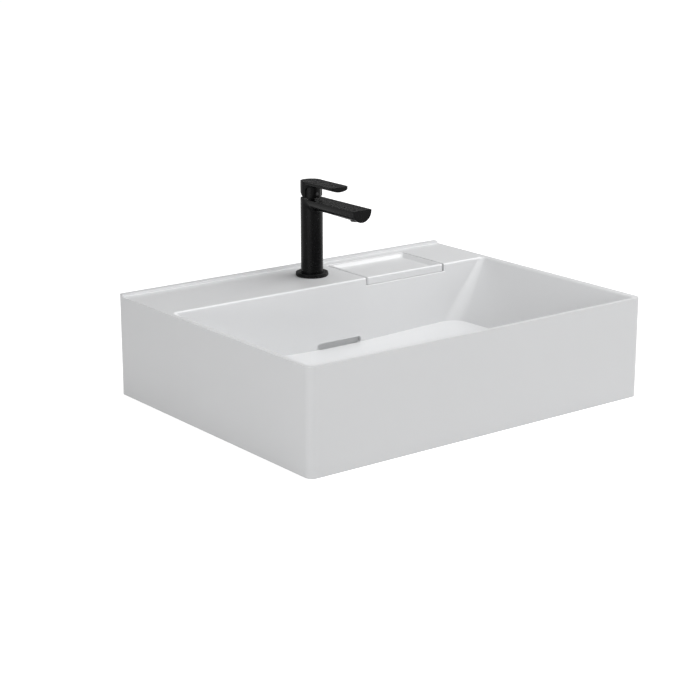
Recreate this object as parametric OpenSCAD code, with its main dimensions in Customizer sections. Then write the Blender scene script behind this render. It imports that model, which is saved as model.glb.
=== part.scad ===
// Countertop basin with a drain slot, a lift-out tray and a single-lever mixer.
// Units are millimetres. X is to the right, Y is to the back, Z is up.
// The origin is the centre of the footprint, on the counter.

/* [Basin] */
// width of the basin, left to right
basin_w = 600; // [560:5:640]
// depth of the basin, front to back
basin_d = 470; // [460:5:490]
// height of the rim and of the deck above the counter
basin_h = 150; // [146:1:156]
// thickness of the outer walls, and width of the rim
wall_t = 9; // [8:0.5:10]
// plan radius of the two front corners
front_corner_r = 11.5; // [8:0.5:14]
// plan radius of the two back corners
back_corner_r = 3; // [3:0.5:5]
// rounding of the rim's outer edge
rim_round_r = 3; // [2:0.5:4]
// height of the back curb above the deck
curb_h = 3.5; // [2.5:0.5:6]
// thickness of the back curb
curb_t = 9; // [7:0.5:12]
// radius of the cove between deck and curb
curb_cove_r = 4; // [2:0.5:5]

/* [Bowl] */
// depth of the deck behind the bowl, to the back face
deck_d = 131; // [128:1:136]
// thickness of the deck
deck_t = 12; // [10:0.5:14]
// height of the bowl's floor at the drain slot
floor_z = 52.5; // [50:0.5:56]
// how much higher the floor is at its left and right ends
floor_rise_side = 6.5; // [3:0.5:9]
// how much higher the floor is at its front
floor_rise_front = 4; // [1:0.5:6]
// how far the side walls run in on their way down
side_run = 67; // [60:1:72]
// how far the back wall runs in on its way down
back_run = 5.5; // [3:0.5:8]
// how far the front wall runs in on its way down
front_run = 18; // [12:1:24]
// radius between the walls and the floor
floor_fillet_r = 10; // [8:0.5:14]
// plan radius of the bowl's corners at the rim
corner_top_r = 8; // [6:0.5:12]
// plan radius of the bowl's corners at the floor
corner_low_r = 28; // [24:1:32]

/* [Drain] */
// width of the drain slot, with its round ends
slot_w = 81.5; // [74:0.5:86]
// height of the drain slot
slot_h = 8.8; // [8:0.1:10]
// inner width of the drain chamber behind the bowl
chamber_w = 120; // [110:2:130]
// inner depth of the drain chamber, front to back
chamber_d = 75; // [72:1:78]
// inner height of the drain chamber
chamber_h = 28; // [26:0.5:30]
// wall thickness of the drain chamber
chamber_t = 8; // [7:0.5:9]
// radius of the outlet hole in the chamber's floor
outlet_r = 22.5; // [22:0.25:23]
// radius of the waste tail's thread, G1 1/4
tail_r = 20.95; // [20.75:0.05:21.05]

/* [Tray] */
// width of the tray
tray_w = 150.6; // [140:0.2:156]
// depth of the tray, from the deck's front edge
tray_d = 101; // [98:0.5:103]
// height of the tray's front face
tray_h = 11.8; // [10:0.1:12.4]
// gap between the tray and its notch, at both sides and at the back
tray_gap = 2; // [1.5:0.1:2.5]
// distance of the tray from the basin's right face
tray_from_side = 91.8; // [84:0.1:96]
// depth of the dish in the tray
dish_depth = 5; // [3.5:0.5:5.5]
// width of the tray's rim round the dish
tray_rim = 4; // [3:0.5:6]
// slope of the dish's wall, in width
dish_slope = 6; // [4:0.5:8]

/* [Mixer] */
// distance of the mixer's axis in front of the back face
tap_back = 67; // [64:1:72]
// radius of the mixer's column, its spout and its hood
tap_r = 17; // [16.6:0.1:17.4]
// radius of the base ring
ring_r = 25; // [24:0.5:27]
// height of the base ring, with its gasket
ring_h = 6; // [5.5:0.25:7]
// height of the column above the deck
column_h = 120.4; // [118:0.2:124]
// length of the spout, from the axis to its end
spout_reach = 125; // [118:1:132]
// drop of the spout's underside from the column to the end
spout_drop = 2.3; // [1:0.1:3]
// distance of the outlet from the axis
outlet_reach = 111; // [106:1:112]
// radius of the hole for the mixer in the deck
tap_hole_r = 17.5; // [16.5:0.25:18]

/* [Lever] */
// gap between the column and the hood
hood_gap = 1.9; // [1.7:0.1:2.2]
// height of the hood, to the blade's flat top
hood_h = 24.3; // [24:0.1:26]
// length of the blade, from the axis to its tip
blade_reach = 72; // [64:1:80]
// thickness of the blade in the middle
blade_t = 7.6; // [7:0.1:7.8]
// thickness of the blade at its two long edges
blade_edge_t = 3.6; // [3:0.1:4.2]
// tip radius of the blade in plan
blade_tip_r = 3; // [2:0.5:5]
// radius of the neck that shows in the arch at the hood's front
neck_face_r = 14.7; // [14.3:0.1:15]
// distance of the arch's two legs in front of the mixer's axis
arch_from_axis = 5.2; // [4.5:0.1:6.5]
// rounding at the top of the arch
arch_r = 6; // [4:0.5:8]
// angle of the cut at the back of the hood, room for the lever to tip
hood_cut_angle = 35.8; // [32:0.2:38]
// height of the lever's pivot below the hood's lower edge
pivot_below_hood = 8.3; // [8.1:0.1:8.5]

/* [Fits] */
// radial clearance of a turning fit
running_c = 0.05; // [0.02:0.01:0.08]
// clearance of fixed pieces that are screwed or laid in
seat_c = 0.1; // [0.05:0.05:0.2]

/* [Hidden] */
$fn = 96;
big = 400;

half_w = basin_w/2;
half_d = basin_d/2;
bowl_half_w = half_w - wall_t;
bowl_back_y = half_d - deck_d;
bowl_front_y = -half_d + wall_t;
bowl_depth = basin_h - floor_z;
side_slope = side_run/bowl_depth;
back_slope = back_run/bowl_depth;
front_slope = front_run/bowl_depth;
// growth of the corner radius for each millimetre down
corner_rate = (corner_low_r - corner_top_r)/bowl_depth;
// height of the corner cones' apex above the rim
corner_apex = corner_top_r/corner_rate;

tap_y = half_d - tap_back;
column_top = basin_h + column_h;
ring_top = basin_h + ring_h;
gasket_t = 1;
// height of the ledge in the base ring on which the column stands
ring_ledge = 2;
hood_z = column_top + hood_gap;
lever_top = hood_z + hood_h;
pivot_z = hood_z - pivot_below_hood;
blade_w = 2*tap_r - 1.6;

chamber_y0 = bowl_back_y - back_run + wall_t + 0.5;
chamber_y1 = chamber_y0 + chamber_d;
chamber_z0 = floor_z - 6.5;
outlet_y = (chamber_y0 + chamber_y1)/2;
plate_z = chamber_z0 - chamber_t;
slot_corner_r = 3.6;
chamber_roof = chamber_z0 + chamber_h + chamber_t;

// notch and tray
tray_x = half_w - tray_from_side - tray_w/2;
tray_back_y = bowl_back_y + tray_d;
// gap between the tray and the notch's floor
notch_gap = 0.3;
notch_floor = basin_h - tray_h - notch_gap;
pad_r = 4;
pad_t = 1.1;
pad_inset = 14;

// cartridge
cart_r = 12.6;
cav_r = 13.2;
cart_z = hood_z - 36.3;
base_t = 4;
disc_fixed_z = cart_z + base_t + 1;
disc_fixed_t = 4;
disc_moving_z = disc_fixed_z + disc_fixed_t + 0.3;
disc_moving_t = 3.2;
turret_z = disc_moving_z + disc_moving_t;
turret_r = 8;
turret_flange_r = 10.4;
turret_flange_t = 3.5;
housing_shoulder = hood_z - 8.8;
neck_top = housing_shoulder + 3.5;
neck_r = 10.4;
turret_top = neck_top + 0.5;
nut_r = 14;
nut_top = column_top - 0.2;
port_x = 6.2;
port_y = 2;
port_r = 2.6;
inlet_x = 7.5;
inlet_y = 3;
inlet_r = 4.6;
inlet_depth = 14;
stud_r = 4;
stud_dy = -8;
stud_depth = 12;
stud_gap = 10;
clamp_r = 25;
clamp_slot = 28;
clamp_slot_y = stud_dy + 6;
clamp_gasket_t = 3;
clamp_washer_t = 2;
clamp_gasket_z = basin_h - deck_t - clamp_gasket_t;
clamp_washer_z = clamp_gasket_z - clamp_washer_t;
fixing_nut_r = 7.4;
fixing_nut_h = 10;
stem_w = 7;
stem_top = hood_z + 14;
pin_r = 1.5;
screw_z = hood_z + 5.9;
screw_r = 2;
plug_r = 2.6;

// waste
waste_flange_r = 31.5;
waste_seal_t = 2;
waste_flange_z = chamber_z0 + waste_seal_t;
waste_flange_t = 2;
waste_bore_r = 17.5;
waste_end_z = 4;
// the tail is thinner above its thread, where the nut and the seals lie
tail_neck_r = tail_r - 0.75;
// width across the corners and height of the waste's nut
waste_nut_w = 62;
waste_nut_chamfer_r = 29.6;
nut_low_z = 22;
thread_top_z = nut_low_z - 1;
nut_high_z = 32.5;
waste_seal_r = 30;
slip_washer_t = 1.5;
grid_r = 25.6;
grid_t = 1.2;

// aerator
aerator_r = 9.1;
aerator_seat_z = column_top - 7.6;
aerator_end_z = aerator_seat_z - 10.2;

white = [0.86, 0.87, 0.88];
black = [0.07, 0.07, 0.075];
brass = [0.75, 0.62, 0.36];
steel = [0.72, 0.73, 0.74];
rubber = [0.1, 0.1, 0.1];
plastic = [0.85, 0.85, 0.83];
grey = [0.45, 0.46, 0.48];

// Helpers shared by the pieces

function unit(v) = v/norm(v);

// tangent length of a rounding of radius r at corner i of polygon p
function corner_in(p, i) = unit(p[(i + len(p) - 1) % len(p)] - p[i]);
function corner_out(p, i) = unit(p[(i + 1) % len(p)] - p[i]);
function corner_half(p, i) = acos(corner_in(p, i)*corner_out(p, i))/2;
function tangent_len(p, i, r) = r/tan(corner_half(p, i));
function round_centre(p, i, r) =
    p[i] + unit(corner_in(p, i) + corner_out(p, i))*r/sin(corner_half(p, i));

// convex polygon with a rounding of its own at each corner
module rounded_poly(p, r) {
    polygon([
        for (i = [0 : len(p) - 1])
            each (r[i] > 0
                ? [p[i] + corner_in(p, i)*tangent_len(p, i, r[i]),
                   p[i] + corner_out(p, i)*tangent_len(p, i, r[i])]
                : [p[i]])
    ]);
    for (i = [0 : len(p) - 1])
        if (r[i] > 0)
            translate(round_centre(p, i, r[i]))
                circle(r[i]);
}

// rectangle from corner a to corner b with corner radii, counted from a round to the left side
module rounded_rect(a, b, r) {
    rounded_poly([a, [b[0], a[1]], b, [a[0], b[1]]], r);
}

// a profile drawn in X and Z, run along Y from y0 to y1
module run_y(y0, y1) {
    translate([0, y1, 0])
        rotate([90, 0, 0])
            linear_extrude(y1 - y0)
                children();
}

// a profile drawn in Y and Z, run along X from x0 to x1
module run_x(x0, x1) {
    translate([x0, 0, 0])
        rotate([90, 0, 90])
            linear_extrude(x1 - x0)
                children();
}

// ring with a round hole
module ring(r_out, r_in, z0, z1) {
    translate([0, 0, z0])
        difference() {
            cylinder(r = r_out, h = z1 - z0);
            translate([0, 0, -1])
                cylinder(r = r_in, h = z1 - z0 + 2);
        }
}

// moves to the mixer's axis
module at_tap() {
    translate([0, tap_y, 0])
        children();
}

// half space on the far side of the plane through point p with outward normal n
module beyond(p, n) {
    translate(p)
        rotate([0, acos(n[2]/norm(n)), atan2(n[1], n[0])])
            translate([-big, -big, 0])
                cube([2*big, 2*big, big]);
}

// Basin

// plan of the basin, drawn in by d
module plan(d) {
    rounded_rect(
        [-half_w + d, -half_d + d], [half_w - d, half_d - d],
        [front_corner_r - d, front_corner_r - d, max(back_corner_r - d, 0), max(back_corner_r - d, 0)]
    );
}

// the block up to the deck, its front and side edges rounded
module outer_block() {
    rr = rim_round_r;
    zc = basin_h - rr;
    linear_extrude(zc)
        plan(0);
    linear_extrude(basin_h)
        plan(rr);
    translate([-half_w + front_corner_r, -half_d + rr, zc])
        rotate([0, 90, 0])
            cylinder(r = rr, h = basin_w - 2*front_corner_r);
    for (s = [-1, 1]) {
        translate([s*(half_w - rr), -half_d + front_corner_r, zc])
            rotate([-90, 0, 0])
                cylinder(r = rr, h = basin_d - front_corner_r - rr);
        translate([s*(half_w - front_corner_r), -half_d + front_corner_r, zc])
            rotate_extrude()
                translate([front_corner_r - rr, 0])
                    intersection() {
                        circle(rr);
                        translate([-front_corner_r + rr, -rr])
                            square([front_corner_r, 2*rr]);
                    }
    }
}

// raised curb along the back edge, with its cove
module curb() {
    top = basin_h + curb_h;
    y0 = half_d - curb_t;
    run_x(-half_w, half_w) {
        rounded_rect([y0, basin_h - 8], [half_d, top], [0, 0, 1.5, 3]);
        difference() {
            translate([y0 - curb_cove_r, basin_h - 4])
                square([curb_cove_r + 2, 4 + curb_cove_r*0.45]);
            translate([y0 - curb_cove_r, basin_h + curb_cove_r])
                circle(curb_cove_r);
        }
    }
}

// bowl seen from the front, grown outward by t
module bowl_front_profile(t) {
    kx = sqrt(1 + side_slope*side_slope);
    xt = bowl_half_w + t*kx + side_slope*2;
    zt = basin_h + 2;
    z_end = floor_z + floor_rise_side - t;
    xb = bowl_half_w + t*kx - side_slope*(basin_h - z_end);
    rounded_poly(
        [[xt, zt], [-xt, zt], [-xb, z_end], [0, floor_z - t], [xb, z_end]],
        [0, 0, floor_fillet_r + t, 0, floor_fillet_r + t]
    );
}

// bowl seen from the right, grown outward by t
module bowl_side_profile(t) {
    kf = sqrt(1 + front_slope*front_slope);
    kb = sqrt(1 + back_slope*back_slope);
    zt = basin_h + 2;
    z_front = floor_z + floor_rise_front - t;
    z_back = floor_z - t;
    yf = bowl_front_y - t*kf;
    yb = bowl_back_y + t*kb;
    rounded_poly(
        [[yb + back_slope*2, zt], [yf - front_slope*2, zt],
         [yf + front_slope*(basin_h - z_front), z_front],
         [yb - back_slope*(basin_h - z_back), z_back]],
        [0, 0, floor_fillet_r + t, floor_fillet_r + t]
    );
}

// bowl with square corners, grown outward by t
module bowl_block(t) {
    intersection() {
        run_y(-half_d - 20, half_d)
            bowl_front_profile(t);
        run_x(-half_w - 20, half_w + 20)
            bowl_side_profile(t);
    }
}

// corner between the right wall and a back or front wall of slope s whose rim line is at y0
function cone_line(s) = [
    -corner_rate*sqrt(1 + side_slope*side_slope) - side_slope,
    -corner_rate*sqrt(1 + s*s) - s,
    -1
];
function side_normal() = unit([1, 0, -side_slope]);
function end_normal(s) = unit([0, 1, -s]);

// the material beyond the rounding
module corner_cut(s, y0) {
    apex = [bowl_half_w + side_slope*corner_apex, y0 + s*corner_apex, basin_h + corner_apex];
    line = cone_line(s);
    on_side = line + corner_rate*side_normal();
    on_end = line + corner_rate*end_normal(s);
    beyond(apex, cross(on_side, on_end));
}

// the cone that rounds the corner, wider towards the floor
module corner_cone(s, y0) {
    apex = [bowl_half_w + side_slope*corner_apex, y0 + s*corner_apex, basin_h + corner_apex];
    line = cone_line(s);
    half_angle = asin(corner_rate/norm(line));
    cone_len = 240;
    translate(apex)
        rotate([0, acos(line[2]/norm(line)), atan2(line[1], line[0])])
            cylinder(r1 = 0, r2 = cone_len*tan(half_angle), h = cone_len);
}

// all four corners, right and left, back and front
module four_corners(kind) {
    for (m = [0, 1])
        mirror([m, 0, 0]) {
            if (kind == "cut") {
                corner_cut(back_slope, bowl_back_y);
                mirror([0, 1, 0])
                    corner_cut(front_slope, -bowl_front_y);
            }
            if (kind == "cone") {
                corner_cone(back_slope, bowl_back_y);
                mirror([0, 1, 0])
                    corner_cone(front_slope, -bowl_front_y);
            }
        }
}

module bowl_cavity() {
    difference() {
        bowl_block(0);
        four_corners("cut");
    }
    intersection() {
        bowl_block(0);
        four_corners("cone");
    }
}

module chamber_box(t) {
    translate([-chamber_w/2 - t, chamber_y0 - t, chamber_z0 - t])
        cube([chamber_w + 2*t, chamber_d + 2*t, chamber_h + 2*t]);
}

// hollow under the deck and round the bowl, open at the counter
module under_hollow() {
    difference() {
        translate([-half_w + wall_t, -half_d + wall_t, -1])
            cube([basin_w - 2*wall_t, basin_d - 2*wall_t, basin_h - deck_t + 1]);
        bowl_block(wall_t);
        chamber_box(chamber_t);
        // deck thickened under the tray
        translate([tray_x - tray_w/2 - tray_gap - wall_t, bowl_back_y - 6, notch_floor - deck_t + 1])
            cube([tray_w + 2*tray_gap + 2*wall_t, tray_d + tray_gap + wall_t + 6, deck_t + 10]);
    }
}

// slot through the bowl's back wall into the chamber
module drain_slot() {
    run_y(bowl_back_y - back_run - floor_fillet_r, chamber_y0 + 2)
        rounded_rect(
            [-slot_w/2, floor_z + 0.2], [slot_w/2, floor_z + 0.2 + slot_h],
            [slot_corner_r, slot_corner_r, slot_corner_r, slot_corner_r]
        );
}

module tray_notch() {
    x0 = tray_x - tray_w/2 - tray_gap;
    translate([x0, bowl_back_y - 4, notch_floor])
        linear_extrude(tray_h + 4)
            rounded_rect(
                [0, 0], [tray_w + 2*tray_gap, tray_d + tray_gap + 4],
                [0, 0, 4, 4]
            );
}

module basin_body() {
    color(white)
        difference() {
            union() {
                outer_block();
                curb();
            }
            bowl_cavity();
            under_hollow();
            chamber_box(0);
            drain_slot();
            tray_notch();
            translate([0, outlet_y, plate_z - 1])
                cylinder(r = outlet_r, h = chamber_t + 2);
            translate([0, tap_y, basin_h - deck_t - 1])
                cylinder(r = tap_hole_r, h = deck_t + 2);
        }
}

// Tray and its pads

// place of pad i, counted from 0 at the front left
module at_pad(i) {
    side = i % 2 == 0 ? -1 : 1;
    y = i > 1 ? tray_back_y - pad_inset : bowl_back_y + pad_inset;
    translate([tray_x + side*(tray_w/2 - pad_inset), y, notch_floor])
        children();
}

module tray_pad(i) {
    color(plastic)
        at_pad(i)
            cylinder(r = pad_r, h = pad_t);
}

module tray_pad_1() { tray_pad(0); }
module tray_pad_2() { tray_pad(1); }
module tray_pad_3() { tray_pad(2); }
module tray_pad_4() { tray_pad(3); }

module dish() {
    zf = basin_h - dish_depth;
    x1 = tray_w/2 - tray_rim;
    y0 = bowl_back_y + tray_rim;
    y1 = tray_back_y - tray_rim;
    k = dish_slope/dish_depth;
    intersection() {
        translate([tray_x, 0, 0])
            run_y(y0 - 10, y1 + 10)
                rounded_poly(
                    [[x1 + 2*k, basin_h + 2], [-x1 - 2*k, basin_h + 2],
                     [-x1 + dish_slope, zf], [x1 - dish_slope, zf]],
                    [0, 0, 5, 5]
                );
        run_x(tray_x - x1 - 10, tray_x + x1 + 10)
            rounded_poly(
                [[y1 + 2*k, basin_h + 2], [y0 - 2*k, basin_h + 2],
                 [y0 + dish_slope, zf], [y1 - dish_slope, zf]],
                [0, 0, 5, 5]
            );
        translate([tray_x, 0, zf - 1])
            linear_extrude(dish_depth + 3)
                rounded_rect([-x1, y0], [x1, y1], [7, 7, 7, 7]);
    }
}

module soap_tray() {
    color(white)
        difference() {
            union() {
                translate([tray_x, 0, basin_h - tray_h])
                    linear_extrude(tray_h - 1)
                        rounded_rect(
                            [-tray_w/2, bowl_back_y], [tray_w/2, tray_back_y],
                            [1.5, 1.5, 2.5, 2.5]
                        );
                translate([tray_x, 0, basin_h - tray_h])
                    linear_extrude(tray_h)
                        rounded_rect(
                            [-tray_w/2 + 0.7, bowl_back_y + 0.7],
                            [tray_w/2 - 0.7, tray_back_y - 0.7],
                            [0.8, 0.8, 1.8, 1.8]
                        );
            }
            dish();
            for (i = [0 : 3])
                at_pad(i)
                    translate([0, 0, -1])
                        cylinder(r = pad_r + seat_c, h = pad_t + 1);
        }
}

// Waste

module at_outlet() {
    translate([0, outlet_y, 0])
        children();
}

module waste_body() {
    color(brass)
        at_outlet()
            difference() {
                union() {
                    translate([0, 0, waste_flange_z])
                        cylinder(r = waste_flange_r, h = waste_flange_t);
                    translate([0, 0, thread_top_z - 1])
                        cylinder(r = tail_neck_r, h = waste_flange_z - thread_top_z + 2);
                    translate([0, 0, waste_end_z])
                        cylinder(r = tail_r, h = thread_top_z - waste_end_z);
                }
                difference() {
                    translate([0, 0, waste_end_z - 1])
                        cylinder(r = waste_bore_r, h = basin_h);
                    // cross that carries the grid's screw
                    translate([0, 0, waste_flange_z - 9]) {
                        translate([-20, -2, 0])
                            cube([40, 4, 5]);
                        translate([-2, -20, 0])
                            cube([4, 40, 5]);
                        cylinder(r = 5, h = 5);
                    }
                }
                translate([0, 0, waste_flange_z - 10])
                    cylinder(r = 2.6, h = 7);
                translate([0, 0, waste_flange_z + waste_flange_t - grid_t])
                    cylinder(r = grid_r + seat_c, h = 5);
            }
}

module waste_grid() {
    z = waste_flange_z + waste_flange_t - grid_t;
    color(steel)
        at_outlet()
            difference() {
                translate([0, 0, z])
                    cylinder(r = grid_r, h = grid_t);
                translate([0, 0, z - 1])
                    cylinder(r = 2.6, h = grid_t + 2);
                for (i = [0 : 5])
                    rotate([0, 0, 60*i + 15])
                        translate([8.2, 0, z - 1])
                            cylinder(r = 2.6, h = grid_t + 2, $fn = 48);
                for (i = [0 : 11])
                    rotate([0, 0, 30*i])
                        translate([14, 0, z - 1])
                            cylinder(r = 2.3, h = grid_t + 2, $fn = 48);
            }
}

module waste_grid_screw() {
    z = waste_flange_z + waste_flange_t;
    color(steel)
        at_outlet()
            difference() {
                union() {
                    translate([0, 0, z])
                        cylinder(r = 4.5, h = 1.6);
                    translate([0, 0, z - 11])
                        cylinder(r = 2.5, h = 11.5);
                }
                translate([-5, -0.6, z + 0.8])
                    cube([10, 1.2, 2]);
            }
}

module waste_seal_upper() {
    color(rubber)
        at_outlet()
            ring(waste_flange_r - 0.5, tail_r + 0.2, chamber_z0, waste_flange_z);
}

module waste_seal_lower() {
    color(rubber)
        at_outlet()
            ring(waste_seal_r, tail_r + seat_c, nut_high_z + slip_washer_t, plate_z);
}

module waste_slip_washer() {
    color(plastic)
        at_outlet()
            ring(waste_seal_r, tail_r + seat_c, nut_high_z, nut_high_z + slip_washer_t);
}

module waste_nut() {
    color(brass)
        at_outlet()
            difference() {
                intersection() {
                    translate([0, 0, nut_low_z])
                        linear_extrude(nut_high_z - nut_low_z)
                            circle(r = waste_nut_w/2, $fn = 6);
                    translate([0, 0, nut_low_z])
                        cylinder(r = waste_nut_chamfer_r, h = nut_high_z - nut_low_z);
                }
                translate([0, 0, nut_low_z - 1])
                    cylinder(r = tail_r, h = nut_high_z - nut_low_z + 2);
            }
}

// Mixer, the pieces that stand still

module tap_base_gasket() {
    color(rubber)
        at_tap()
            ring(ring_r - 1, 13, basin_h, basin_h + gasket_t);
}

module tap_base_ring() {
    z0 = basin_h + gasket_t;
    ledge = z0 + ring_ledge;
    color(black)
        at_tap()
            rotate_extrude()
                polygon([
                    [13, z0], [ring_r - 0.4, z0], [ring_r, z0 + 0.4],
                    [ring_r, z0 + 2.4], [ring_r - 0.7, z0 + 2.8], [ring_r - 0.7, z0 + 3.2],
                    [ring_r - 0.2, z0 + 3.5], [ring_r - 0.2, ring_top - 0.8],
                    [ring_r - 1, ring_top], [tap_r + seat_c, ring_top],
                    [tap_r + seat_c, ledge], [13, ledge]
                ]);
}

// spout, half round below and flat on top
module spout() {
    difference() {
        translate([0, 0, column_top + 0.9])
            rotate([90 + atan(spout_drop/spout_reach), 0, 0])
                cylinder(r = tap_r, h = spout_reach + 10);
        translate([-50, -200, column_top])
            cube([100, 250, 50]);
        translate([-50, -spout_reach - 50, column_top - 50])
            cube([100, 50, 100]);
    }
}

module tap_body() {
    z0 = basin_h + gasket_t + ring_ledge;
    color(black)
        at_tap()
            difference() {
                union() {
                    translate([0, 0, z0])
                        cylinder(r = tap_r, h = column_top - z0);
                    spout();
                }
                // cartridge's place and the thread of its nut
                translate([0, 0, cart_z])
                    cylinder(r = cav_r, h = 60);
                translate([0, 0, housing_shoulder])
                    cylinder(r = nut_r, h = 60);
                // waterway and outlet
                translate([0, -10, aerator_seat_z - 1])
                    rotate([90, 0, 0])
                        cylinder(r = 4.4, h = outlet_reach - 10, $fn = 48);
                translate([0, -outlet_reach, column_top - 30])
                    cylinder(r = aerator_r + seat_c, h = aerator_seat_z - column_top + 30);
                // supply ways and threads, hot on the left
                for (s = [-1, 1]) {
                    translate([s*inlet_x, inlet_y, z0 - 1])
                        cylinder(r = inlet_r, h = inlet_depth + 1);
                    translate([s*port_x, port_y, z0 + inlet_depth - 1])
                        cylinder(r = port_r, h = cart_z - z0 - inlet_depth + 2, $fn = 48);
                }
                translate([0, stud_dy, z0 - 1])
                    cylinder(r = stud_r + running_c, h = stud_depth + 1);
            }
}

// from a little above the drain chamber up into the mixer's base
module tap_stud() {
    z0 = chamber_roof + stud_gap;
    z1 = basin_h + gasket_t + ring_ledge + stud_depth - 0.5;
    color(steel)
        at_tap()
            translate([0, stud_dy, z0])
                cylinder(r = stud_r, h = z1 - z0);
}

// horseshoe plate, open to the back for the two supply hoses
module horseshoe(z0, z1) {
    at_tap()
        translate([0, 0, z0])
            linear_extrude(z1 - z0)
                difference() {
                    circle(clamp_r);
                    translate([-clamp_slot/2, clamp_slot_y])
                        square([clamp_slot, clamp_r - clamp_slot_y + 1]);
                    translate([0, stud_dy])
                        circle(stud_r + 0.3);
                }
}

module tap_clamp_gasket() {
    color(rubber)
        horseshoe(clamp_gasket_z, basin_h - deck_t);
}

module tap_clamp_washer() {
    color(steel)
        horseshoe(clamp_washer_z, clamp_gasket_z);
}

module tap_fixing_nut() {
    color(steel)
        at_tap()
            translate([0, stud_dy, clamp_washer_z - fixing_nut_h])
                difference() {
                    linear_extrude(fixing_nut_h)
                        circle(r = fixing_nut_r, $fn = 6);
                    translate([0, 0, -1])
                        cylinder(r = stud_r + running_c, h = fixing_nut_h + 2);
                }
}

module aerator_housing() {
    color(grey)
        at_tap()
            translate([0, -outlet_reach, 0])
                difference() {
                    translate([0, 0, aerator_end_z])
                        cylinder(r = aerator_r, h = 8.6);
                    translate([0, 0, aerator_end_z - 1])
                        cylinder(r = 6.2, h = 12);
                    translate([0, 0, aerator_end_z + 1.6])
                        cylinder(r = 7.6, h = 12);
                }
}

module aerator_insert() {
    color(plastic)
        at_tap()
            translate([0, -outlet_reach, aerator_end_z + 1.6])
                difference() {
                    cylinder(r = 7.5, h = 6);
                    for (i = [0 : 5])
                        rotate([0, 0, 60*i])
                            translate([3.9, 0, -1])
                                cylinder(r = 1.3, h = 8, $fn = 32);
                    translate([0, 0, -1])
                        cylinder(r = 1.3, h = 8, $fn = 32);
                }
}

module aerator_seal() {
    color(rubber)
        at_tap()
            translate([0, -outlet_reach, 0])
                ring(aerator_r - 0.2, 6.6, aerator_end_z + 8.6, aerator_seat_z);
}

// Cartridge, the pieces that stand still

module cartridge_base() {
    z = cart_z;
    color(grey)
        at_tap()
            difference() {
                union() {
                    translate([0, 0, z])
                        cylinder(r = cart_r, h = base_t);
                    translate([0, 0, z])
                        cylinder(r = 10.5, h = base_t + 1);
                }
                for (s = [-1, 1]) {
                    translate([s*port_x, port_y, z - 1])
                        cylinder(r = port_r, h = 10, $fn = 48);
                    translate([s*port_x, port_y, z - 1])
                        cylinder(r = 4.4, h = 2.6, $fn = 48);
                }
                // mixed water, down from the disc and out to the front
                translate([0, -5.6, z + 1])
                    cylinder(r = 2.4, h = 10, $fn = 48);
                translate([-2.4, -20, z + 1])
                    cube([4.8, 14.4, 2]);
            }
}

module cartridge_seal(s) {
    color(rubber)
        at_tap()
            translate([s*port_x, port_y, 0])
                ring(4.2, 2.9, cart_z, cart_z + 1.6);
}

module cartridge_seal_hot() { cartridge_seal(-1); }
module cartridge_seal_cold() { cartridge_seal(1); }

module cartridge_fixed_disc() {
    color(white)
        at_tap()
            translate([0, 0, disc_fixed_z])
                difference() {
                    cylinder(r = 10.6, h = disc_fixed_t);
                    for (s = [-1, 1])
                        translate([s*port_x, port_y, -1])
                            cylinder(r = 2.2, h = 8, $fn = 48);
                    translate([0, -5.6, -1])
                        cylinder(r = 2.4, h = 8, $fn = 48);
                }
}

module cartridge_housing() {
    z0 = cart_z + base_t;
    zf = turret_z + turret_flange_t + 0.3;
    color(grey)
        at_tap()
            difference() {
                union() {
                    translate([0, 0, z0])
                        cylinder(r = cart_r, h = housing_shoulder - z0);
                    translate([0, 0, z0])
                        cylinder(r = neck_r, h = neck_top - z0);
                }
                translate([0, 0, z0 - 1])
                    cylinder(r = turret_flange_r + 0.3, h = zf - z0 + 1);
                translate([0, 0, z0])
                    cylinder(r = turret_r + running_c, h = 40);
                // flat at the front, the way up for the mixed water
                translate([-20, -20 - cart_r + 1.2, z0 - 1])
                    cube([40, 20, 40]);
            }
}

module cartridge_nut() {
    color(brass)
        at_tap()
            difference() {
                translate([0, 0, housing_shoulder])
                    cylinder(r = nut_r - running_c, h = nut_top - housing_shoulder);
                translate([0, 0, housing_shoulder - 1])
                    cylinder(r = neck_r + seat_c, h = neck_top + 0.2 - housing_shoulder + 1);
                translate([0, 0, housing_shoulder])
                    cylinder(r = turret_r + 0.6, h = 20);
                for (a = [0, 90])
                    rotate([0, 0, a + 45])
                        translate([-20, -1.5, nut_top - 1.5])
                            difference() {
                                cube([40, 3, 5]);
                                translate([8, -1, -1])
                                    cube([24, 5, 7]);
                            }
            }
}

// Pieces that turn with the lever

module cartridge_moving_disc() {
    color(white)
        at_tap()
            translate([0, 0, disc_moving_z])
                difference() {
                    cylinder(r = 10.2, h = disc_moving_t);
                    translate([0, 1.2, -1])
                        cylinder(r = 3.4, h = 2.8, $fn = 48);
                }
}

module cartridge_turret() {
    color(grey)
        at_tap()
            difference() {
                union() {
                    translate([0, 0, turret_z])
                        cylinder(r = turret_r, h = turret_top - turret_z);
                    translate([0, 0, turret_z])
                        cylinder(r = turret_flange_r, h = turret_flange_t);
                }
                // slot in which the stem tips
                translate([-stem_w/2 - 0.15, -4.8, pivot_z - 4.8])
                    cube([stem_w + 0.3, 20, 30]);
                // room for the stem's lower end
                translate([-3.1, -6.6, turret_z - 1])
                    cube([6.2, 10, 14]);
                translate([-20, 0, pivot_z])
                    rotate([0, 90, 0])
                        cylinder(r = pin_r, h = 40, $fn = 48);
            }
}

module stem_pin() {
    color(steel)
        at_tap()
            translate([-7.2, 0, pivot_z])
                rotate([0, 90, 0])
                    cylinder(r = pin_r, h = 14.4, $fn = 48);
}

// Lever

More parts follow.
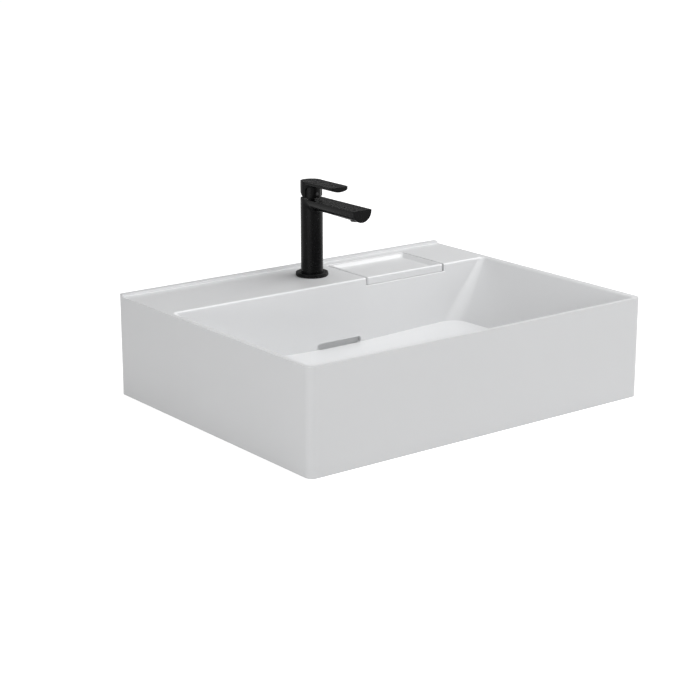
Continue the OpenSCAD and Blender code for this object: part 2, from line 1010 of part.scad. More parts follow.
module cartridge_stem() {
    color(brass)
        at_tap()
            difference() {
                union() {
                    translate([-stem_w/2, -stem_w/2, pivot_z - 2.5])
                        cube([stem_w, stem_w, stem_top - pivot_z + 2.5]);
                    translate([0, 0, pivot_z - 7])
                        cylinder(r = 2.2, h = 6, $fn = 48);
                    translate([0, 0, pivot_z - 7])
                        sphere(r = 2.5, $fn = 48);
                }
                translate([-20, 0, pivot_z])
                    rotate([0, 90, 0])
                        cylinder(r = pin_r + running_c, h = 40, $fn = 48);
            }
}

// flat-topped blade with a shallow round underside
module blade() {
    sag = blade_t - blade_edge_t;
    rb = (blade_w*blade_w/4 + sag*sag)/(2*sag);
    intersection() {
        translate([0, 5, lever_top - blade_t + rb])
            rotate([90, 0, 0])
                cylinder(r = rb, h = blade_reach + 20, $fn = 192);
        translate([0, 0, lever_top - blade_t - 1])
            linear_extrude(blade_t + 1)
                rounded_rect(
                    [-blade_w/2, -blade_reach], [blade_w/2, 0],
                    [blade_tip_r, blade_tip_r, 0, 0]
                );
    }
}

// space of the arch in front of the neck, under the blade
module hood_arch() {
    top = hood_h - blade_t - 0.4;
    difference() {
        translate([-tap_r - 5, 0, hood_z])
            rotate([90, 0, 90])
                linear_extrude(2*tap_r + 10)
                    rounded_rect(
                        [-tap_r - 5, -5], [-arch_from_axis, top],
                        [0, 0, arch_r, 0]
                    );
        cylinder(r = neck_face_r, h = big);
    }
}

module lever_handle() {
    boss_z = hood_z + 2.7;
    roof_z = hood_z + 8.7;
    color(black)
        at_tap()
            difference() {
                union() {
                    difference() {
                        translate([0, 0, hood_z])
                            cylinder(r = tap_r, h = hood_h);
                        translate([0, 0, hood_z - 1])
                            cylinder(r = neck_face_r - 1.6, h = roof_z - hood_z + 1);
                        hood_arch();
                        translate([0, -2, hood_z])
                            rotate([hood_cut_angle, 0, 0])
                                translate([-50, 0, -50])
                                    cube([100, 100, 50]);
                    }
                    blade();
                    // boss on the stem, and the rib that guides the screw
                    translate([0, 0, boss_z])
                        cylinder(r = 7, h = 12);
                    translate([-4, -neck_face_r + 1, boss_z])
                        cube([8, neck_face_r - 2, 12]);
                }
                translate([-stem_w/2 - seat_c, -stem_w/2 - seat_c, boss_z - 1])
                    cube([stem_w + 2*seat_c, stem_w + 2*seat_c, stem_top - boss_z + 1.3]);
                translate([0, 0, screw_z])
                    rotate([90, 0, 0])
                        cylinder(r = screw_r + running_c, h = 30, $fn = 48);
                translate([0, -neck_face_r + 1.6, screw_z])
                    rotate([90, 0, 0])
                        cylinder(r = plug_r + running_c, h = 10, $fn = 48);
            }
}

module lever_screw() {
    color(steel)
        at_tap()
            difference() {
                translate([0, -stem_w/2, screw_z])
                    rotate([90, 0, 0])
                        cylinder(r = screw_r, h = 9, $fn = 48);
                translate([0, -stem_w/2 - 6.5, screw_z])
                    rotate([90, 0, 0])
                        linear_extrude(5)
                            circle(r = 1.15, $fn = 6);
            }
}

module lever_plug() {
    color(grey)
        at_tap()
            intersection() {
                translate([0, -neck_face_r + 1.6, screw_z])
                    rotate([90, 0, 0])
                        cylinder(r = plug_r, h = 5, $fn = 48);
                cylinder(r = neck_face_r - 0.1, h = big);
            }
}

basin_body();
soap_tray();
tray_pad_1();
tray_pad_2();
tray_pad_3();
tray_pad_4();
waste_body();
waste_grid();
waste_grid_screw();
waste_seal_upper();
waste_seal_lower();
waste_slip_washer();
waste_nut();
tap_base_gasket();
tap_base_ring();
tap_body();
tap_stud();
tap_clamp_gasket();
tap_clamp_washer();
tap_fixing_nut();
aerator_housing();
aerator_insert();
aerator_seal();
cartridge_base();
cartridge_seal_hot();
cartridge_seal_cold();
cartridge_fixed_disc();
cartridge_housing();
cartridge_nut();
cartridge_moving_disc();
cartridge_turret();
stem_pin();
cartridge_stem();
lever_handle();
lever_screw();
lever_plug();
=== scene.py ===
import math

import bmesh
import bpy
from bpy.props import FloatProperty, FloatVectorProperty, PointerProperty
from mathutils import Matrix, Vector


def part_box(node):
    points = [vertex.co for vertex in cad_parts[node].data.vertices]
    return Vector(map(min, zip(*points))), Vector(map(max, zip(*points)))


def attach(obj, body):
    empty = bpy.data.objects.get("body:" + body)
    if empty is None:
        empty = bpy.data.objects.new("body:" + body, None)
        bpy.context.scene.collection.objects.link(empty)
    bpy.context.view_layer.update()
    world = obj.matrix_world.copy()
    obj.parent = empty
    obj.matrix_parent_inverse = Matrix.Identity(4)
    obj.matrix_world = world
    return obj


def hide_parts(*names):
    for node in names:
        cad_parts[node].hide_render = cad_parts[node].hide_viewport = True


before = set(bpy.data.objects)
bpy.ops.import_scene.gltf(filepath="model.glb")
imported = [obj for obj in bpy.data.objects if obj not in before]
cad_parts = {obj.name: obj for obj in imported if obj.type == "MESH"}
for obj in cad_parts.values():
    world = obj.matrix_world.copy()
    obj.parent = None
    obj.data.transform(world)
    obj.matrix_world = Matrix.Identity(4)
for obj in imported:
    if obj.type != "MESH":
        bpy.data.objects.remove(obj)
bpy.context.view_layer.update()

bl_info = {
    "name": "Countertop basin",
    "version": (1, 0, 0),
    "blender": (4, 5, 0),
    "location": "3D View > Sidebar > Basin",
    "description": "Dresses a countertop basin with its tray, waste and single-lever mixer",
    "category": "Object",
}

MM = 0.001

# Places that the frame gives
BASIN_LOW, BASIN_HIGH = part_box("basin_body")
TRAY_LOW, TRAY_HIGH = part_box("soap_tray")
RING_LOW, RING_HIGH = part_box("tap_base_ring")
COLUMN_LOW, COLUMN_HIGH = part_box("tap_body")
LEVER_LOW, LEVER_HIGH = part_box("lever_handle")
AERATOR_LOW, AERATOR_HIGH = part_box("aerator_housing")
WASTE_LOW, WASTE_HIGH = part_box("waste_body")
NUT_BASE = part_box("cartridge_nut")[0].z
TAP_Y = (RING_LOW.y + RING_HIGH.y) / 2
OUTLET_Y = (WASTE_LOW.y + WASTE_HIGH.y) / 2

# Depth of the drain chamber's floor below the bowl's
CHAMBER_DROP = 6.5 * MM


# Settings that a user may change

def length(name, description, millimetres):
    return FloatProperty(
        name=name, description=description, default=millimetres * MM, unit="LENGTH")


class BasinSizes(bpy.types.PropertyGroup):
    rim_height: FloatProperty(
        name="Rim height", description="Height of the rim and the deck above the counter",
        default=TRAY_HIGH.z, unit="LENGTH")
    wall: length("Wall", "Width of the rim", 9)
    front_corner: length("Front corner", "Plan radius of the two front corners", 11.5)
    back_corner: length("Back corner", "Plan radius of the two back corners", 3)
    rim_rounding: length("Rim rounding", "Rounding of the rim's outer edge", 3)
    lip_rounding: length(
        "Lip rounding", "Rounding of the bowl's upper edge and of the deck's front", 3)
    curb_depth: length("Curb depth", "Thickness of the raised curb along the back", 9)
    deck_depth: length("Deck depth", "Depth of the deck behind the bowl", 131)
    floor_height: length("Floor height", "Height of the bowl's floor at the slot", 52.5)
    floor_rise_side: length("Rise to the sides", "How much higher the floor is at its ends", 6.5)
    floor_rise_front: length("Rise to the front", "How much higher the floor is at its front", 4)
    side_run: length("Side run", "How far the side walls run in on their way down", 67)
    back_run: length("Back run", "How far the back wall runs in on its way down", 5.5)
    front_run: length("Front run", "How far the front wall runs in on its way down", 18)
    floor_fillet: length("Floor fillet", "Radius between the walls and the floor", 14)
    corner_top: length("Corner at the rim", "Plan radius of the bowl's corners at the rim", 8)
    corner_low: length("Corner at the floor", "Plan radius of the bowl's corners at the floor", 28)
    slot_width: length("Slot width", "Width of the drain slot", 81.5)
    slot_height: length("Slot height", "Height of the drain slot", 8.8)
    throat: length("Throat", "Distance of the baffle behind the foot of the bowl's back wall", 6)
    slot_lip: length("Slot lip", "Rounding of the drain slot's edge", 0.9)
    notch_rounding: length("Notch rounding", "Rounding of the edges of the tray's notch", 1.4)
    tray_rounding: length("Tray rounding", "Rounding of the tray's outer edge", 2.4)
    tray_gap: length("Tray gap", "Gap between the tray and its notch", 2)
    dish_depth: length("Dish depth", "Depth of the dish in the tray", 5)


class MixerSizes(bpy.types.PropertyGroup):
    radius: length("Column radius", "Radius of the column, the spout and the hood", 17)
    ring_radius: length("Ring radius", "Radius of the base ring", 25)
    spout_reach: length("Spout reach", "Length of the spout from the axis", 125)
    spout_drop: length("Spout drop", "Drop of the spout's underside towards its end", 2.3)
    crotch: length("Crotch fillet", "Fillet between the spout and the column", 6)
    edge: length("Edge rounding", "Rounding of the mixer's edges", 1.2)
    end_edge: length("Spout end", "Rounding between the spout's round side and its end", 3.5)
    blade_thickness: length("Blade thickness", "Thickness of the lever's blade in the middle", 7.6)
    blade_edge: length("Blade edge", "Thickness of the blade at its long edges", 3.6)
    blade_width: length("Blade width", "Width of the lever's blade", 32.4)
    blade_corner: length("Blade corner", "Radius of the blade's corners in plan", 5.5)
    hood_cut: FloatProperty(
        name="Hood cut", description="Angle of the cut at the back of the hood",
        default=math.radians(35.8), subtype="ANGLE")
    neck: length("Neck", "Radius of the neck that shows in the arch at the hood's front", 14.7)
    arch: length("Arch rounding", "Rounding at the top of the arch in the hood", 6)


class FinishColours(bpy.types.PropertyGroup):
    glaze: FloatVectorProperty(
        name="Glaze", description="Colour of the white glaze", subtype="COLOR", size=3,
        min=0, max=1, default=(0.70, 0.705, 0.712))
    black: FloatVectorProperty(
        name="Black", description="Colour of the mixer's black finish", subtype="COLOR", size=3,
        min=0, max=1, default=(0.0025, 0.0025, 0.0027))
    rubber: FloatVectorProperty(
        name="Rubber", description="Colour of the seals", subtype="COLOR", size=3,
        min=0, max=1, default=(0.03, 0.03, 0.032))
    brass: FloatVectorProperty(
        name="Brass", description="Colour of the bare brass", subtype="COLOR", size=3,
        min=0, max=1, default=(0.72, 0.52, 0.24))


class StageSettings(bpy.types.PropertyGroup):
    key_power: FloatProperty(
        name="Main lamp", description="Power of the large lamp overhead", default=54,
        min=0, unit="POWER")
    right_power: FloatProperty(
        name="Right lamp", description="Power of the lamp high at the right", default=29,
        min=0, unit="POWER")
    front_power: FloatProperty(
        name="Front lamp", description="Power of the lamp at the front right", default=7,
        min=0, unit="POWER")
    left_power: FloatProperty(
        name="Left lamp", description="Power of the low lamp at the left", default=20,
        min=0, unit="POWER")
    surround: FloatProperty(
        name="Surround", description="Level of the even light all round", default=0.3, min=0)
    lens: FloatProperty(
        name="Lens", description="Focal length on a 36 mm sensor, in millimetres", default=92.07)


# Shader arithmetic

class Wire:
    """A number on its way from one node to the next, with the usual signs."""

    def __init__(self, finish, socket):
        self.finish = finish
        self.socket = socket

    def _with(self, other, operation):
        return self.finish.node("ShaderNodeMath", {"operation": operation}, {0: self, 1: other})

    def __add__(self, other):
        return self._with(other, "ADD")

    __radd__ = __add__

    def __mul__(self, other):
        return self._with(other, "MULTIPLY")

    __rmul__ = __mul__


class Finish:
    """A material of one kind, built up node by node."""

    def __init__(self, name, colour, roughness, metallic=0.0, **fixed):
        self.material = bpy.data.materials.new(name)
        self.material.use_nodes = True
        self.tree = self.material.node_tree
        self.shader = self.tree.nodes["Principled BSDF"]
        self.set("Base Color", (*colour, 1))
        self.set("Roughness", roughness)
        self.set("Metallic", metallic)
        for socket, value in fixed.items():
            self.set(socket.replace("_", " "), value)

    def set(self, socket, value):
        self._feed(self.shader.inputs[socket], value)

    def _feed(self, socket, value):
        if isinstance(value, Wire):
            self.tree.links.new(value.socket, socket)
        else:
            socket.default_value = value

    def node(self, kind, settings, inputs, output=0):
        made = self.tree.nodes.new(kind)
        for key, value in settings.items():
            setattr(made, key, value)
        for key, value in inputs.items():
            self._feed(made.inputs[key], value)
        return Wire(self, made.outputs[output])

    def place(self):
        return self.node("ShaderNodeTexCoord", {}, {}, "Object")

    def noise(self, scale, detail, stretch=(1, 1, 1)):
        spot = self.node("ShaderNodeMapping", {}, {"Vector": self.place(), "Scale": stretch})
        return self.node(
            "ShaderNodeTexNoise", {}, {"Vector": spot, "Scale": scale, "Detail": detail}, "Fac")

    def between(self, mask, low, high):
        """The colour that runs from low to high as mask runs from 0 to 1."""
        low, high = [end if isinstance(end, Wire) else (*end, 1) for end in (low, high)]
        return self.node(
            "ShaderNodeMix", {"data_type": "RGBA"}, {"Factor": mask, 6: low, 7: high}, 2)

    def vary(self, mask, colour, low, high):
        """Lets the colour run from low to high times its own level."""
        ends = [tuple(min(1, c * level) for c in colour) for level in (low, high)]
        self.set("Base Color", self.between(mask, *ends))

    def bump(self, height, strength, distance):
        self.set("Normal", self.node(
            "ShaderNodeBump", {}, {"Height": height, "Strength": strength, "Distance": distance}))


def glaze_finish(colour):
    """White vitreous glaze: soft gloss, a faint cloud in its tone and slow waves in its skin."""
    made = Finish("white_glaze", colour, 0.3, IOR=1.5)
    made.vary(made.noise(9, 3), colour, 0.99, 1.008)
    made.set("Roughness", 0.27 + 0.06 * made.noise(26, 2))
    made.bump(made.noise(30, 1), 0.05, 0.0005)
    return made.material


def black_finish(colour):
    """Black paint with a soft gloss that varies a little."""
    made = Finish("black_paint", colour, 0.3, IOR=1.45, Specular_IOR_Level=0.12)
    made.vary(made.noise(60, 3), colour, 0.85, 1.2)
    made.set("Roughness", 0.24 + 0.06 * made.noise(120, 2))
    return made.material


def metal_finish(name, colour, roughness, turned=False):
    """Metal with the fine marks of turning, or of plating if it isn't turned."""
    made = Finish(name, colour, roughness, 1.0)
    marks = made.noise(900, 2, (0.15, 0.15, 1) if turned else (1, 1, 1))
    made.vary(made.noise(70, 3), colour, 0.9, 1.05)
    made.set("Roughness", roughness * 0.8 + marks * (roughness * 0.5))
    made.bump(marks, 0.15 if turned else 0.05, 0.00008)
    return made.material


def moulded_finish(name, colour, roughness, grain=700):
    """Moulded rubber or plastic, or fired ceramic, with a fine skin."""
    made = Finish(name, colour, roughness)
    made.vary(made.noise(110, 3), colour, 0.88, 1.08)
    made.set("Roughness", roughness * 0.85 + made.noise(grain, 2) * (roughness * 0.3))
    made.bump(made.noise(grain, 2), 0.12, 0.0001)
    return made.material


# Shaping

def solid(name, bm):
    """An object that holds the mesh: a piece, a part of the stage, or a space to cut out."""
    mesh = bpy.data.meshes.new(name)
    bm.to_mesh(mesh)
    bm.free()
    made = bpy.data.objects.new(name, mesh)
    bpy.context.scene.collection.objects.link(made)
    return made


def settle(obj):
    """Makes the object's modifiers part of its mesh."""
    graph = bpy.context.evaluated_depsgraph_get()
    settled = bpy.data.meshes.new_from_object(obj.evaluated_get(graph), depsgraph=graph)
    rough = obj.data
    obj.modifiers.clear()
    obj.data = settled
    bpy.data.meshes.remove(rough)


def carve(obj, cutters):
    """Cuts the solids out of the object, one by one, and clears them away."""
    for cutter in cutters:
        cut = obj.modifiers.new("cut", "BOOLEAN")
        cut.operation = "DIFFERENCE"
        cut.solver = "EXACT"
        cut.object = cutter
        settle(obj)
    for cutter in cutters:
        mesh = cutter.data
        bpy.data.objects.remove(cutter)
        bpy.data.meshes.remove(mesh)


def mend(obj, gap=0.00001, angle=0.2, halves=False):
    """Merges doubled points, and faces that lie in one plane, each half by itself on request."""
    bm = bmesh.new()
    bm.from_mesh(obj.data)
    bmesh.ops.remove_doubles(bm, verts=bm.verts, dist=gap)
    if halves:
        for cut in slice_across(bm, 0, 1e-6):
            if isinstance(cut, bmesh.types.BMEdge):
                cut.seam = True
    bmesh.ops.dissolve_limit(
        bm, angle_limit=math.radians(angle), verts=bm.verts, edges=bm.edges,
        use_dissolve_boundaries=False, delimit={"SEAM"})
    bmesh.ops.recalc_face_normals(bm, faces=bm.faces)
    bm.to_mesh(obj.data)
    bm.free()


def soften(obj, widths, segments):
    """Rounds edges: widths(edge) gives each edge's width, or 0 to leave it sharp."""
    bm = bmesh.new()
    bm.from_mesh(obj.data)
    chosen = {}
    for edge in bm.edges:
        if len(edge.link_faces) == 2:
            width = widths(edge)
            if width > 0:
                chosen[edge] = width
    widest = max(chosen.values())
    weight = bm.edges.layers.float.get("bevel_weight_edge")
    weight = weight or bm.edges.layers.float.new("bevel_weight_edge")
    for edge in bm.edges:
        edge[weight] = chosen.get(edge, 0) / widest
    bm.to_mesh(obj.data)
    bm.free()
    rounding = obj.modifiers.new("rounding", "BEVEL")
    rounding.limit_method = "WEIGHT"
    rounding.width = widest
    rounding.segments = segments
    rounding.profile = 0.5
    rounding.material = -1
    rounding.use_clamp_overlap = False
    settle(obj)


def middle(edge):
    return (edge.verts[0].co + edge.verts[1].co) / 2


def at_height(edge, z, slack=0.00002):
    return all(abs(v.co.z - z) < slack for v in edge.verts)


def box_mesh(low, high):
    bm = bmesh.new()
    bmesh.ops.create_cube(bm, size=1)
    low, high = Vector(low), Vector(high)
    bmesh.ops.scale(bm, vec=high - low, verts=bm.verts)
    bmesh.ops.translate(bm, vec=(low + high) / 2, verts=bm.verts)
    return bm


def bar_mesh(radius, low, high, centre, axis="Z", sides=96):
    """A round bar along an axis through centre, its ends at low and high from there."""
    bm = bmesh.new()
    bmesh.ops.create_cone(
        bm, cap_ends=True, segments=sides, radius1=radius, radius2=radius, depth=high - low)
    if axis == "Y":
        bmesh.ops.rotate(bm, matrix=Matrix.Rotation(math.radians(90), 3, "X"), verts=bm.verts)
    halfway = (low + high) / 2
    spot = Vector(centre) + Vector((0, halfway, 0) if axis == "Y" else (0, 0, halfway))
    bmesh.ops.translate(bm, vec=spot, verts=bm.verts)
    return bm


def round_off(bm, geom, radius, segments, affect="VERTICES"):
    """Rounds points of a flat face, or edges of a solid, by an arc."""
    bmesh.ops.bevel(
        bm, geom=geom, offset=radius, offset_type="OFFSET", segments=segments, profile=0.5,
        affect=affect, clamp_overlap=False, material=-1)


def push(bm, way):
    """Extrudes the faces by the given way, into a closed block."""
    grown = bmesh.ops.extrude_face_region(bm, geom=bm.faces[:])["geom"]
    bmesh.ops.translate(
        bm, vec=way, verts=[g for g in grown if isinstance(g, bmesh.types.BMVert)])
    bmesh.ops.recalc_face_normals(bm, faces=bm.faces)


def slice_across(bm, x, slack):
    """Cuts the mesh's faces along the plane at x, and returns the cut."""
    return bmesh.ops.bisect_plane(
        bm, geom=bm.verts[:] + bm.edges[:] + bm.faces[:], plane_co=(x, 0, 0),
        plane_no=(1, 0, 0), dist=slack)["geom_cut"]


def nearest(bm, x, y, z):
    """The point of the mesh that lies nearest to a place."""
    spot = Vector((x, y, z))
    return min(bm.verts, key=lambda v: (v.co - spot).length)


def outline(bm, low, high, z, radii, segments):
    """Draws a flat face from corner low to corner high, each corner rounded by its own radius."""
    corners = [
        bm.verts.new((x, y, z))
        for x, y in ((low[0], low[1]), (high[0], low[1]), (high[0], high[1]), (low[0], high[1]))]
    bm.faces.new(corners)
    for corner, radius in zip(corners, radii):
        if radius > 0:
            round_off(bm, [corner], radius, segments)


def tapered_mesh(low, high, segments):
    """A closed block between two rounded outlines. Each is (corner, corner, height, radii)."""
    bm = bmesh.new()
    outline(bm, *low, segments)
    outline(bm, *high, segments)
    bmesh.ops.bridge_loops(bm, edges=[e for e in bm.edges if len(e.link_faces) == 1])
    bmesh.ops.recalc_face_normals(bm, faces=bm.faces)
    return bm


def pile(rings, segments=8):
    """A closed block through rounded outlines, each (corner, corner, height, radius)."""
    bm = bmesh.new()
    for low, high, z, radius in rings:
        if bm.faces:
            grown = bmesh.ops.extrude_face_region(bm, geom=[face])["geom"]
            bmesh.ops.delete(bm, geom=[face], context="FACES_ONLY")
            face = next(g for g in grown if isinstance(g, bmesh.types.BMFace))
        shape = bmesh.new()
        outline(shape, low, high, z, [radius] * 4, segments)
        shape.faces.ensure_lookup_table()
        spots = [v.co.copy() for v in shape.faces[0].verts]
        shape.free()
        if not bm.faces:
            face = bm.faces.new([bm.verts.new(spot) for spot in spots])
        else:
            for point, spot in zip(face.verts, spots):
                point.co = spot
    bmesh.ops.recalc_face_normals(bm, faces=bm.faces)
    return bm


def loft(bm, count, spot, stations):
    """Extrudes a row of points from station to station, point k going to spot(k, station)."""
    tag = bm.verts.layers.int.get("row") or bm.verts.layers.int.new("row")
    row = [bm.verts.new(spot(k, stations[0])) for k in range(count)]
    for k, point in enumerate(row):
        point[tag] = k
    edges = [bm.edges.new(pair) for pair in zip(row, row[1:])]
    for station in stations[1:]:
        grown = bmesh.ops.extrude_edge_only(bm, edges=edges)["geom"]
        fresh = {g for g in grown if isinstance(g, bmesh.types.BMVert)}
        edges = [
            g for g in grown
            if isinstance(g, bmesh.types.BMEdge) and fresh.issuperset(g.verts)]
        for point in fresh:
            point.co = spot(point[tag], station)


def close(bm, test):
    """Fills the holes whose rim passes the test."""
    bmesh.ops.edgeloop_fill(
        bm, edges=[e for e in bm.edges if len(e.link_faces) < 2 and test(e)])


def dress(obj, finish, body, nodes, sharp=35):
    """Gives a finished piece its material and its body, and hides the frame's nodes that it stands
    for.
    """
    obj.data.materials.clear()
    obj.data.materials.append(finish)
    for face in obj.data.polygons:
        face.use_smooth = True
        face.material_index = 0
    obj.data.set_sharp_from_angle(angle=math.radians(sharp))
    level = obj.modifiers.new("even shading", "WEIGHTED_NORMAL")
    level.keep_sharp = True
    level.weight = 100
    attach(obj, body)
    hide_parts(*nodes)


# Operators, one for each piece or group of like pieces

class BASIN_OT_body(bpy.types.Operator):
    """Builds the glazed basin with its bowl, deck, curb, notch, slot and drain chamber"""

    bl_idname = "basin.body"
    bl_label = "Basin"

    def execute(self, context):
        s = context.scene.basin_sizes
        top = s.rim_height
        x1, y0, y1 = BASIN_HIGH.x, BASIN_LOW.y, BASIN_HIGH.y
        curb_top, curb_y = BASIN_HIGH.z, BASIN_HIGH.y - s.curb_depth
        bowl_x, bowl_front, bowl_back = x1 - s.wall, y0 + s.wall, y1 - s.deck_depth

        # The side view, from the foot at the front over the rim and the curb
        profile = (
            (y0, 0), (y0, top), (curb_y, top), (curb_y, curb_top), (y1, curb_top), (y1, 0))
        bm = bmesh.new()
        bm.faces.new([bm.verts.new((-x1, y, z)) for y, z in profile])
        push(bm, (2 * x1, 0, 0))
        for y, radius, steps in ((y0, s.front_corner, 12), (y1, s.back_corner, 5)):
            upright = [
                e for e in bm.edges
                if abs(e.verts[0].co.z - e.verts[1].co.z) > 0.1 and abs(middle(e).y - y) < 1e-6]
            round_off(bm, upright, radius, steps, "EDGES")
        basin = solid("glazed_basin", bm)
        foot_rounding, curb_rounding = 1 * MM, 1.7 * MM

        def outer(edge):
            height = middle(edge).z
            if edge.calc_face_angle(0) < math.radians(30):
                return 0
            if height < MM:
                return foot_rounding
            if at_height(edge, top) and any(abs(v.co.y - curb_y) > 1e-5 for v in edge.verts):
                return s.rim_rounding
            return curb_rounding if height > top - MM else 0

        soften(basin, outer, 5)
        carve(basin, [self.bowl(s, top, bowl_x, bowl_front, bowl_back)])
        carve(basin, self.hollow(s, top, bowl_x, bowl_front, bowl_back))
        carve(basin, self.openings(s, top, bowl_back))
        mend(basin, halves=True)

        notch_x0, notch_x1 = TRAY_LOW.x - s.tray_gap, TRAY_HIGH.x + s.tray_gap
        notch_y1 = TRAY_HIGH.y + s.tray_gap
        near = 0.1 * MM
        slot_top, lip_start = s.floor_height + 12 * MM, s.floor_height + 3 * MM

        def inner(edge):
            spot = middle(edge)
            if edge.calc_face_angle(0) < math.radians(25):
                return 0
            by_slot = abs(spot.x) < s.slot_width / 2 + MM and spot.z < slot_top
            if by_slot and spot.y < bowl_back - 2 * MM and edge.is_convex:
                return s.slot_lip if spot.z > lip_start else 0
            if spot.z < top - 20 * MM:
                return 0
            in_bowl = abs(spot.x) < bowl_x + near and bowl_front - near < spot.y < bowl_back + near
            by_notch = notch_x0 - near < spot.x < notch_x1 + near
            runs_back = edge.verts[0].co.x == edge.verts[1].co.x and spot.y > bowl_back - near
            if at_height(edge, top) and in_bowl and not (by_notch and runs_back):
                return s.lip_rounding
            if by_notch and bowl_back - 10 * MM < spot.y < notch_y1 + near and edge.is_convex:
                return s.notch_rounding
            return 0

        soften(basin, inner, 4)
        dress(basin, FINISHES["glaze"], "basin", ["basin_body"])
        return {"FINISHED"}

    def bowl(self, s, top, bowl_x, bowl_front, bowl_back):
        """The space of the bowl, wider at the rim, its corners growing towards the floor."""
        over = 4 * MM
        depth = top - s.floor_height

        def ring(z):
            down = (top - z) / depth
            x = bowl_x - s.side_run * down
            radius = s.corner_top + (s.corner_low - s.corner_top) * down
            front, back = bowl_front + s.front_run * down, bowl_back - s.back_run * down
            return (-x, front), (x, back), z, [radius] * 4

        bm = tapered_mesh(ring(s.floor_height), ring(top + over), 10)
        for x in (-120, -60, -30, -12, 0, 12, 30, 60, 120):
            slice_across(bm, x * MM, 1e-7)
        low_x = bowl_x - s.side_run
        back, front = bowl_back - s.back_run, bowl_front + s.front_run
        # The floor falls from both ends towards the slot, rounded over this length in the middle
        blend = 30 * MM
        for point in bm.verts:
            if point.co.z < s.floor_height + 1e-5:
                above = next(
                    v for v in (e.other_vert(point) for e in point.link_edges) if v.co.z > top)
                x, y = point.co.x, point.co.y
                rise = s.floor_rise_side * (math.hypot(x, blend) - blend) / (low_x - blend)
                rise += s.floor_rise_front * (back - y) / (back - front)
                point.co = point.co.lerp(above.co, rise / (top + over - s.floor_height))
        bmesh.ops.recalc_face_normals(bm, faces=bm.faces)
        bowl = solid("bowl_space", bm)

        def fillet(edge):
            walls = [f for f in edge.link_faces if abs(f.normal.z) < 0.85]
            if len(walls) != 1 or middle(edge).z > top - 20 * MM:
                return 0
            return s.floor_fillet * math.tan(edge.calc_face_angle(0) / 2)

        soften(bowl, fillet, 7)
        return bowl

    def hollow(self, s, top, bowl_x, bowl_front, bowl_back):
        """The open space under the deck and round the bowl, and the drain chamber in it."""
        wall, deck, casing = s.wall, 12 * MM, 8 * MM
        bed_side, bed_below = 11 * MM, 11.5 * MM
        depth = top - s.floor_height
        chamber_half, chamber_depth, chamber_rise = 60 * MM, 75 * MM, 21.5 * MM
        chamber_y0 = bowl_back - s.back_run + wall + 0.5 * MM
        chamber_low = (-chamber_half, chamber_y0, s.floor_height - CHAMBER_DROP)
        chamber_high = (chamber_half, chamber_y0 + chamber_depth, s.floor_height + chamber_rise)
        space = solid("under_space", box_mesh(
            (BASIN_LOW.x + wall, BASIN_LOW.y + wall, -10 * MM),
            (BASIN_HIGH.x - wall, BASIN_HIGH.y - wall, top - deck)))
        grow_side = wall * math.hypot(1, s.side_run / depth)
        low_z, high_z = s.floor_height - wall, top + 4 * MM

        def ring(z):
            down = (top - z) / depth
            x = bowl_x + grow_side - s.side_run * down
            return ((-x, bowl_front - wall + s.front_run * down),
                    (x, bowl_back + wall - s.back_run * down), z, [0] * 4)

        carve(space, [
            solid("bowl_casing", tapered_mesh(ring(low_z), ring(high_z), 1)),
            solid("chamber_casing", box_mesh(
                [c - casing for c in chamber_low], [c + casing for c in chamber_high])),
            solid("tray_bed", box_mesh(
                (TRAY_LOW.x - bed_side, bowl_back - 6 * MM, TRAY_LOW.z - bed_below),
                (TRAY_HIGH.x + bed_side, TRAY_HIGH.y + bed_side, top))),
        ])
        return [space, solid("chamber_space", box_mesh(chamber_low, chamber_high))]

    def openings(self, s, top, bowl_back):
        """The drain slot and the way behind it, the notch, the outlet and the mixer's hole."""
        foot = bowl_back - s.back_run
        slot_z, slot_corner = s.floor_height + 0.2 * MM, 3.6 * MM
        bm = bmesh.new()
        outline(
            bm, (-s.slot_width / 2, slot_z), (s.slot_width / 2, slot_z + s.slot_height), 0,
            [slot_corner] * 4, 6)
        bmesh.ops.rotate(bm, matrix=Matrix.Rotation(math.radians(90), 3, "X"), verts=bm.verts)
        bmesh.ops.translate(bm, vec=(0, foot - s.floor_fillet, 0), verts=bm.verts)
        push(bm, (0, s.floor_fillet + s.throat, 0))
        slot = solid("slot_space", bm)

        # Down behind the wall, then back below the baffle that is left standing
        drop_x = s.slot_width / 2 - slot_corner - 0.5 * MM
        low_z, passage_height = s.floor_height - CHAMBER_DROP, 3.5 * MM
        drop = solid("drop_space", box_mesh(
            (-drop_x, foot + 0.3 * MM, low_z),
            (drop_x, foot + s.throat, s.floor_height + s.slot_height / 2)))
        passage = solid("passage_space", box_mesh(
            (-drop_x, foot + s.throat - MM, low_z),
            (drop_x, foot + s.wall + MM, low_z + passage_height)))

        low = (TRAY_LOW.x - s.tray_gap, bowl_back - 6 * MM)
        high = (TRAY_HIGH.x + s.tray_gap, TRAY_HIGH.y + s.tray_gap)
        corners = [0, 0, 4 * MM, 4 * MM]
        notch = solid("notch_space", tapered_mesh(
            (low, high, TRAY_LOW.z - 0.3 * MM, corners), (low, high, top + 4 * MM, corners), 6))

        outlet_radius, hole_radius = 22.5 * MM, 17.5 * MM
        plate_z = s.floor_height - 14.5 * MM
        return [
            slot, drop, passage, notch,
            solid("outlet_space", bar_mesh(
                outlet_radius, plate_z - MM, plate_z + 9 * MM, (0, OUTLET_Y, 0))),
            solid("mixer_hole", bar_mesh(
                hole_radius, top - 14 * MM, top + 2 * MM, (0, TAP_Y, 0))),
        ]


